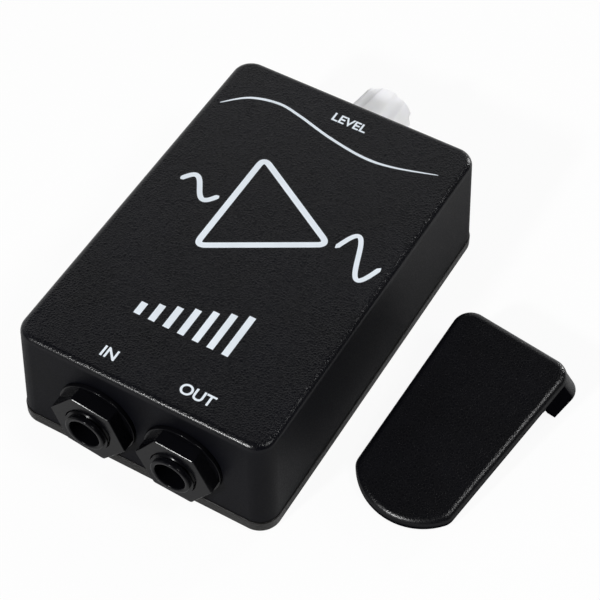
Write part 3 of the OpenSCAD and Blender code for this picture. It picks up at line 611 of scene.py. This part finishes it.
def make_jack_nut(side):
    x = JACK_X[side]
    low, high = mm_box(f"{side}_jack_nut")
    turns = [math.radians(360 / HEX_SIDES * i - NUT_TURN[side]) for i in range(HEX_SIDES)]
    rings = []
    for inset, y in ((NUT_CHAMFER, low.y), (0, low.y + NUT_CHAMFER_L), (0, high.y)):
        r = NUT_POINT_R - inset * POINT_FACTOR
        rings.append([(x + r * math.cos(a), y, PANEL_Z + r * math.sin(a)) for a in turns])
    nut = loft("nut", rings)
    rounding = [(NUT_POINT_R - NUT_ROUND, low.y), (NUT_POINT_R, low.y + NUT_ROUND),
                (NUT_POINT_R + NUT_FLARE, high.y + PAST)]
    carve(nut, drum("rounding", rounding, x, PANEL_Z), operation="INTERSECT")
    mouth_r = THREAD_HOLE_R + NUT_MOUTH
    bore = [(mouth_r + PAST, low.y - PAST), (mouth_r, low.y), (THREAD_HOLE_R, low.y + NUT_MOUTH),
            (THREAD_HOLE_R, high.y + PAST)]
    carve(nut, drum("bore", bore, x, PANEL_Z))
    nut.name = f"{side}_hex_nut"
    dress(nut, JACK_BLACK, CASE, [f"{side}_jack_nut"], sharp=25)


def make_jack(side):
    make_jack_body(side)
    make_jack_washer(side)
    make_jack_nut(side)


# Gain knob

KNOB_BASE_R, KNOB_END_R, KNOB_EDGE_R = 7.1, 5.8, 0.5
KNOB_RECESS_R, KNOB_RECESS_L = 6.07, 1.9
KNOB_FOOT_EDGE, KNOB_FOOT_ALONG = 0.2, 0.02
KNOB_STEPS, KNOB_RINGS = 240, 8
FLUTES, FLUTE_START, FLUTE_R, FLUTE_BLEND = 6, 59, 3.1, 0.12
FLUTE_FOOT_DEPTH, FLUTE_END_DEPTH = 0.4, 0.7
DISH_DEPTH, DISH_SHARES = 0.12, (0.85, 0.6, 0.3, 0.05)


def smooth_min(a, b, reach):
    """The lesser of two values, blended where they come within reach of each other."""
    h = max(reach - abs(a - b), 0) / reach
    return min(a, b) - h * h * reach / 4


def knob_ring(radius, y):
    """A fine ring round the knob's axis."""
    return circle_ring(radius, 0, y, PANEL_Z, KNOB_STEPS)


def fluted_ring(radius, y, along):
    """A ring of the knob. Along is how far up the knob its flutes are taken, from 0 to 1."""
    foot_r, end_r = KNOB_BASE_R - FLUTE_FOOT_DEPTH, KNOB_END_R - FLUTE_END_DEPTH
    middle = foot_r + (end_r - foot_r) * along + FLUTE_R

    def fluted(angle):
        step = 2 * math.pi / FLUTES
        off = (angle - math.radians(FLUTE_START) + step / 2) % step - step / 2
        across = middle * math.sin(off)
        if abs(across) >= FLUTE_R:
            return radius
        near = middle * math.cos(off) - math.sqrt(FLUTE_R ** 2 - across ** 2)
        return smooth_min(radius, near, FLUTE_BLEND)

    return knob_ring(fluted, y)


def make_knob():
    low, high = mm_box("gain_knob")
    length = high.y - low.y
    straight = length - KNOB_EDGE_R
    rings = [knob_ring(KNOB_RECESS_R, low.y + KNOB_RECESS_L), knob_ring(KNOB_RECESS_R, low.y)]
    rings.append(fluted_ring(KNOB_BASE_R - KNOB_FOOT_EDGE, low.y, 0))
    rings.append(fluted_ring(KNOB_BASE_R, low.y + KNOB_FOOT_EDGE, KNOB_FOOT_ALONG))
    for k in range(1, KNOB_RINGS + 1):
        share = k / KNOB_RINGS
        radius = KNOB_BASE_R + (KNOB_END_R - KNOB_BASE_R) * share
        rings.append(fluted_ring(radius, low.y + straight * share, straight * share / length))
    for a in ARC[1:]:
        y = low.y + straight + KNOB_EDGE_R * math.sin(a)
        rings.append(fluted_ring(KNOB_END_R - KNOB_EDGE_R * (1 - math.cos(a)), y, (y - low.y) / length))
    flat_r = KNOB_END_R - KNOB_EDGE_R
    for share in DISH_SHARES:
        rings.append(knob_ring(flat_r * share, high.y - DISH_DEPTH * (1 - share ** 2)))
    dress(loft("knob_moulding", rings), KNOB_MILK, KNOB, ["gain_knob"], sharp=60)


# Belt clip

# The clip is drawn flat, u across it, v from its tip to its back and w up, and is then placed.
CLIP_TURN, CLIP_TILT, CLIP_LEAN = 7.9, 12.7, 15.0
CLIP_TIP = (44.6, -27.6, 0.0)
CLIP_L, CLIP_T = 44.9, 2.2
CLIP_TIP_W, CLIP_HOOK_W = 22.0, 26.1
CLIP_TIP_R, CLIP_CORNER_R, CLIP_EDGE_R = 13.15, 3.9, 1.6
CLIP_HOOK_L, CLIP_WALL = 9.1, 1.8
CLIP_UNDER_R, CLIP_TIP_ROUND = 0.3, 0.9
HOOK_FILLET, HOOK_SPARE = 1.2, 6
SKIRT_INSET, SKIRT_TOP, HOLLOW_TOP = 0.02, 0.5, 1.5
MOUTH_START, MOUTH_HALF_W = -5, 20
GROUND = 60
TIP_STEPS, ROUND_STEPS, SIDE_STEPS, CORNER_STEPS = 16, 8, 12, 16
MEET_TRIES = 20

TIP_RISE = CLIP_TIP_R - math.sqrt(CLIP_TIP_R ** 2 - (CLIP_TIP_W / 2) ** 2)
CLIP_WIDEN = (CLIP_HOOK_W - CLIP_TIP_W) / 2 / (CLIP_L - TIP_RISE)
CLIP_CORNER_V = CLIP_L - CLIP_CORNER_R


def clip_outline(inset):
    """Half of the clip's plan from the tip's middle to the back's middle, mirrored to a loop of (u, v)."""
    tip_r, corner_r = CLIP_TIP_R - inset, CLIP_CORNER_R - inset

    def side_u(v):
        return CLIP_TIP_W / 2 + CLIP_WIDEN * (v - TIP_RISE) - inset

    def tip_point(angle):
        return tip_r * math.sin(angle), CLIP_TIP_R - tip_r * math.cos(angle)

    meet = math.asin(CLIP_TIP_W / 2 / CLIP_TIP_R)
    for _ in range(MEET_TRIES):
        meet = math.asin(min(1, side_u(tip_point(meet)[1]) / tip_r))
    stop = meet - CLIP_TIP_ROUND / tip_r
    half = [tip_point(stop * k / TIP_STEPS) for k in range(TIP_STEPS + 1)]
    corner = Vector(tip_point(meet))
    end_v = corner.y + CLIP_TIP_ROUND
    half += bend(Vector(half[-1]), corner, Vector((side_u(end_v), end_v)), ROUND_STEPS)[1:]
    for k in range(1, SIDE_STEPS + 1):
        v = end_v + (CLIP_CORNER_V - end_v) * k / SIDE_STEPS
        half.append((side_u(v), v))
    middle_u = side_u(CLIP_CORNER_V) - corner_r
    for k in range(1, CORNER_STEPS + 1):
        a = math.pi / 2 * k / CORNER_STEPS
        half.append((middle_u + corner_r * math.cos(a), CLIP_CORNER_V + corner_r * math.sin(a)))
    return half + [(-u, v) for u, v in reversed(half[1:])]


def clip_ring(inset, w, slip=0.0):
    """The clip's outline at a height, slipped towards its back."""
    return [(u, v + slip, w) for u, v in clip_outline(inset)]


def clip_plate():
    """The flat part, with a small round below and a large one above."""
    rings = []
    for a in COARSE_ARC:
        rings.append(clip_ring(CLIP_UNDER_R * (1 - math.sin(a)), CLIP_UNDER_R * (1 - math.cos(a))))
    straight = CLIP_T - CLIP_EDGE_R
    for a in ARC:
        rings.append(clip_ring(CLIP_EDGE_R * (1 - math.cos(a)), straight + CLIP_EDGE_R * math.sin(a)))
    return loft("clip_moulding", rings)


def clip_hook():
    """The leaning wall round the back, hollow and open towards the tip. It reaches past the floor."""
    drop = CLIP_L * math.tan(math.radians(CLIP_TILT)) + HOOK_SPARE
    lean = math.tan(math.radians(CLIP_LEAN))
    hook = loft("hook", [clip_ring(SKIRT_INSET, w, -w * lean) for w in (SKIRT_TOP, -drop)])
    hollow = loft("hollow", [clip_ring(CLIP_WALL, w, -w * lean) for w in (HOLLOW_TOP, -drop - PAST)])
    front = CLIP_L - CLIP_HOOK_L
    foot = drop + 2 * PAST
    start, corner = Vector((front - HOOK_FILLET, 0)), Vector((front, 0))
    end = Vector((front + HOOK_FILLET * lean, -HOOK_FILLET))
    profile = [(MOUTH_START, HOLLOW_TOP), (front - HOOK_FILLET, HOLLOW_TOP)]
    profile += bend(start, corner, end, ROUND_STEPS)
    profile += [(front + foot * lean, -foot), (MOUTH_START, -foot)]
    mouth = loft("mouth", [[(u, v, w) for v, w in profile] for u in (-MOUTH_HALF_W, MOUTH_HALF_W)])
    carve(hook, hollow, mouth)
    return hook


def make_clip():
    clip = clip_plate()
    carve(clip, clip_hook(), operation="UNION")
    place = Matrix.Translation(Vector(CLIP_TIP) * MM)
    turn = Matrix.Rotation(math.radians(-CLIP_TURN), 4, "Z")
    tilt = Matrix.Rotation(math.radians(CLIP_TILT), 4, "X")
    clip.data.transform(place @ turn @ tilt)
    carve(clip, block("ground", (0, -GROUND, -GROUND), (2 * GROUND, GROUND, 0)))
    dress(clip, CLIP_BLACK, CLIP, ["belt_clip"], sharp=40)


# Print on the top

PRINT_SINK, WORD_BOLD, BLUNT_END = 0.01, 0.06, 0.02
STRIPE_POINTS = ((-24.6, 27.6), (-20.1, 31.7), (-14.2, 33.3), (-8.8, 32.5), (-0.8, 30.4), (7.6, 29.1),
                 (14.1, 29.7), (22.9, 32.4))
STRIPE_END_HALF, STRIPE_SWELL = 0.07, 0.23
STRIPE_START_RATE, STRIPE_END_RATE, STRIPE_TAPER = 5, 4, 0.7
SIGN_CORNERS = ((-9, 19), (13, 6), (-9, -7))
SIGN_ROUND, SIGN_ROUND_STEPS, SIGN_STEP, SIGN_HALF = 2.2, 10, 0.6, 0.65
BARS, BAR_FIRST_X, BAR_PITCH, BAR_FOOT_Y = 7, -9.6, 3.2, -26.5
BAR_FIRST_L, BAR_GROWTH, BAR_HALF, BAR_STEPS = 3.0, 1.2, 0.7, 12

# Each wave's name, first and last x, height and half width.
WAVE_Y = 6
WAVES = (("small_wave", -20.5, -11.5, 2.4, 0.55), ("large_wave", 14.5, 24.5, 4.8, 0.5))

# Each word's piece, its text, its middle and its size.
WORDS = (("input_word", "IN", JACK_X["input"], -36.8, 3.4),
         ("output_word", "OUT", JACK_X["output"], -36.6, 3.4),
         ("level_word", "LEVEL", 0.9, 35.8, 3.0))


def smooth_line(points, steps=12):
    """A smooth line through points of (x, y)."""
    line = []
    last = len(points) - 1
    for i in range(last):
        a, b, c, d = (Vector(points[min(max(i + k, 0), last)]) for k in (-1, 0, 1, 2))
        for s in range(steps):
            t = s / steps
            line.append(0.5 * (2 * b + (c - a) * t + (2 * a - 5 * b + 4 * c - d) * t * t
                               + (3 * b - a - 3 * c + d) * t ** 3))
    line.append(Vector(points[last]))
    return line


def sine_line(x0, x1, y, height, steps=48):
    """One full wave from x0 to x1."""
    return [Vector((x0 + (x1 - x0) * k / steps, y + height * math.sin(2 * math.pi * k / steps)))
            for k in range(steps + 1)]


def sign_line():
    """The amplifier sign's rounded triangle, with its points close together."""
    corners = [(x, y, SIGN_ROUND) for x, y in SIGN_CORNERS]
    outline = [Vector(p) for p in soften(corners, SIGN_ROUND_STEPS)]
    line = []
    for a, b in zip(outline, outline[1:] + outline[:1]):
        parts = max(1, int((b - a).length / SIGN_STEP))
        line += [a.lerp(b, k / parts) for k in range(parts)]
    return line


def bar_line(number):
    """One of the level bars, each longer than the one before."""
    x = BAR_FIRST_X + BAR_PITCH * number
    length = BAR_FIRST_L + BAR_GROWTH * number
    return [Vector((x, BAR_FOOT_Y + length * s / BAR_STEPS)) for s in range(BAR_STEPS + 1)]


def stripe_half(share):
    """The stripe's half width, which tapers at both ends."""
    swell = min(1, STRIPE_START_RATE * share, STRIPE_END_RATE * (1 - share))
    return STRIPE_END_HALF + STRIPE_SWELL * swell ** STRIPE_TAPER


def round_ended(line, half):
    """Half widths along a line, drawn in to half circles at both ends."""
    length = sum((b - a).length for a, b in zip(line, line[1:]))

    def width(share):
        left = min(share, 1 - share) * length
        return half * math.sqrt(max(BLUNT_END, 1 - max(0, 1 - left / half) ** 2))
    return width


def ribbon(name, line, half_width, closed=False):
    """A thin flat strip on the top face along a line. The half width may depend on the share of the way."""
    count = len(line)
    low_z = TOP_Z - PRINT_SINK
    rings = []
    for i, p in enumerate(line):
        before = line[i - 1] if closed or i else p
        after = line[(i + 1) % count] if closed or i < count - 1 else p
        along = (after - before).normalized()
        half = half_width(i / (count - 1)) if callable(half_width) else half_width
        across = Vector((-along.y, along.x)) * half
        a, b = p + across, p - across
        rings.append([(a.x, a.y, CASE_H), (b.x, b.y, CASE_H), (b.x, b.y, low_z), (a.x, a.y, low_z)])
    return loft(name, rings, closed=closed)


def word(name, text, x, y, size):
    """A printed word as a thin mesh on the top face."""
    curve = bpy.data.curves.new(name, "FONT")
    curve.body = text
    curve.size = size * MM
    curve.align_x = curve.align_y = "CENTER"
    curve.extrude = PRINT_T / 2 * MM
    curve.offset = WORD_BOLD * MM
    writing = add_object(name, curve)
    mesh = final_mesh(writing)
    bpy.data.objects.remove(writing)
    mesh.transform(Matrix.Translation(Vector((x, y, CASE_H - PRINT_T / 2)) * MM))
    return add_object(name, mesh)


def make_print():
    """Generic marks: a wave stripe, an amplifier sign, level bars and plain words at the controls."""
    pieces = [ribbon("wave_stripe", smooth_line(STRIPE_POINTS), stripe_half)]
    pieces.append(ribbon("amplifier_sign", sign_line(), SIGN_HALF, closed=True))
    for name, start, end, height, half in WAVES:
        wave = sine_line(start, end, WAVE_Y, height)
        pieces.append(ribbon(name, wave, round_ended(wave, half)))
    for number in range(BARS):
        pieces.append(ribbon(f"level_bar_{number}", bar_line(number), BAR_HALF))
    for entry in WORDS:
        pieces.append(word(*entry))
    for piece in pieces:
        dress(piece, PRINT_WHITE, CASE)


# Stage, light and camera

FLOOR_HALF, FLOOR_DROP = 3000, 0.02
FLOOR_ROUGHNESS, FLOOR_SPECULAR, FLOOR_PATCH = 0.9, 0.1, 300
FLOOR_DARK, FLOOR_LIGHT = (0.80, 0.80, 0.80), (0.84, 0.84, 0.84)
FLOOR_GLOW = {"Is Camera Ray": 0.93, "Is Glossy Ray": 0.05, "Is Transmission Ray": 0.8}

# The world's light is a fill and the product of three ramps along the direction's axes.
WORLD_FILL = 0.05
WORLD_RAMPS = {
    "Z": dict(low=1.1, high=0.0, from_low=0.58, from_high=0.77),
    "X": dict(low=0.9, high=0.02, from_low=0.0, from_high=0.40),
    "Y": dict(low=0.15, high=1.0, from_low=-0.35, from_high=0.15),
}

# The camera is fitted to the case's edges in the photo. Its azimuth is taken from the -Y side.
CAMERA_AZIMUTH, CAMERA_ELEVATION, CAMERA_ROLL = 29.833, 51.908, 0.415
CAMERA_AIM, CAMERA_DISTANCE = (9.926, 0.620, 13.0), 382.61
FOCAL_PIXELS, FRAME_PIXELS, SENSOR = 1955.10, 600, 36.0
NEAREST, FARTHEST = 10, 20000


def make_floor():
    s = FLOOR_HALF
    floor = mesh_object("floor", [(-s, -s, 0), (s, -s, 0), (s, s, 0), (-s, s, 0)], [(0, 1, 2, 3)])
    floor.location.z = -FLOOR_DROP * MM
    mat, tree, shader = new_material("studio_floor")
    shader.inputs["Roughness"].default_value = FLOOR_ROUGHNESS
    shader.inputs["Specular IOR Level"].default_value = FLOOR_SPECULAR
    paper = noise(tree, FLOOR_PATCH)["Fac"]
    tree.links.new(mix_color(tree, paper, FLOOR_DARK, FLOOR_LIGHT), shader.inputs["Base Color"])
    path = tree.nodes.new("ShaderNodeLightPath")
    share = 0.0
    for ray, part in FLOOR_GLOW.items():
        share = compute(tree, "MULTIPLY_ADD", path.outputs[ray], part, share)
    glow = tree.nodes.new("ShaderNodeEmission")
    mix = tree.nodes.new("ShaderNodeMixShader")
    sources = (share, shader.outputs["BSDF"], glow.outputs["Emission"])
    for source, socket in zip(sources, mix.inputs):
        tree.links.new(source, socket)
    tree.links.new(mix.outputs["Shader"], tree.nodes["Material Output"].inputs["Surface"])
    floor.data.materials.append(mat)


def make_world():
    """A pale studio wall behind and to the left, dim overhead and to the right, white to the camera."""
    world = bpy.data.worlds.new("studio")
    bpy.context.scene.world = world
    world.use_nodes = True
    tree = world.node_tree
    place = tree.nodes.new("ShaderNodeTexCoord")
    split = tree.nodes.new("ShaderNodeSeparateXYZ")
    tree.links.new(place.outputs["Generated"], split.inputs["Vector"])
    wall = 1.0
    for axis, ramp in WORLD_RAMPS.items():
        wall = compute(tree, "MULTIPLY", wall, remap(tree, split.outputs[axis], **ramp))
    level = compute(tree, "ADD", wall, WORLD_FILL)
    path = tree.nodes.new("ShaderNodeLightPath")
    seen = tree.nodes.new("ShaderNodeMix")
    seen.inputs["B"].default_value = 1.0
    tree.links.new(path.outputs["Is Camera Ray"], seen.inputs["Factor"])
    tree.links.new(level, seen.inputs["A"])
    background = tree.nodes["Background"]
    background.inputs["Color"].default_value = (1, 1, 1, 1)
    tree.links.new(seen.outputs["Result"], background.inputs["Strength"])


def area_light(name, place, aim, size, power):
    """A round lamp. Its place, its aim and its size are in metres."""
    lamp = bpy.data.lights.new(name, "AREA")
    lamp.shape = "DISK"
    lamp.size = size
    lamp.energy = power
    obj = add_object(name, lamp)
    obj.location = place
    obj.rotation_euler = (Vector(aim) - Vector(place)).to_track_quat("-Z", "Y").to_euler()


def make_lights():
    area_light("front_light", place=(-0.158, -0.641, 0.482), aim=(0.01, 0, 0.01), size=0.08, power=5.0)
    area_light("right_light", place=(0.46, 0.04, 0.65), aim=(0.02, 0, 0.01), size=0.20, power=2.0)
    area_light("back_light", place=(0.22, 0.56, 0.16), aim=(0, 0.045, 0.013), size=0.10, power=1.4)


def make_camera():
    az, el, roll = (math.radians(a) for a in (CAMERA_AZIMUTH, CAMERA_ELEVATION, CAMERA_ROLL))
    back = Vector((math.sin(az) * math.cos(el), -math.cos(az) * math.cos(el), math.sin(el)))
    level = Vector((math.cos(az), math.sin(az), 0))
    rise = back.cross(level)
    right = math.cos(roll) * level + math.sin(roll) * rise
    up = math.cos(roll) * rise - math.sin(roll) * level
    data = bpy.data.cameras.new("camera")
    data.sensor_fit = "HORIZONTAL"
    data.sensor_width = SENSOR
    data.lens = FOCAL_PIXELS / FRAME_PIXELS * SENSOR
    data.clip_start = NEAREST * MM
    data.clip_end = FARTHEST * MM
    camera = add_object("camera", data)
    turn = Matrix((right, up, back)).transposed().to_4x4()
    place = (Vector(CAMERA_AIM) + CAMERA_DISTANCE * back) * MM
    camera.matrix_world = Matrix.Translation(place) @ turn
    bpy.context.scene.camera = camera


make_camera()
dress_inner_nodes()
make_case()
make_lid()
make_screws()
for jack in JACK_X:
    make_jack(jack)
make_knob()
make_clip()
make_print()
make_floor()
make_world()
make_lights()
bpy.context.scene.view_settings.view_transform = "Standard"
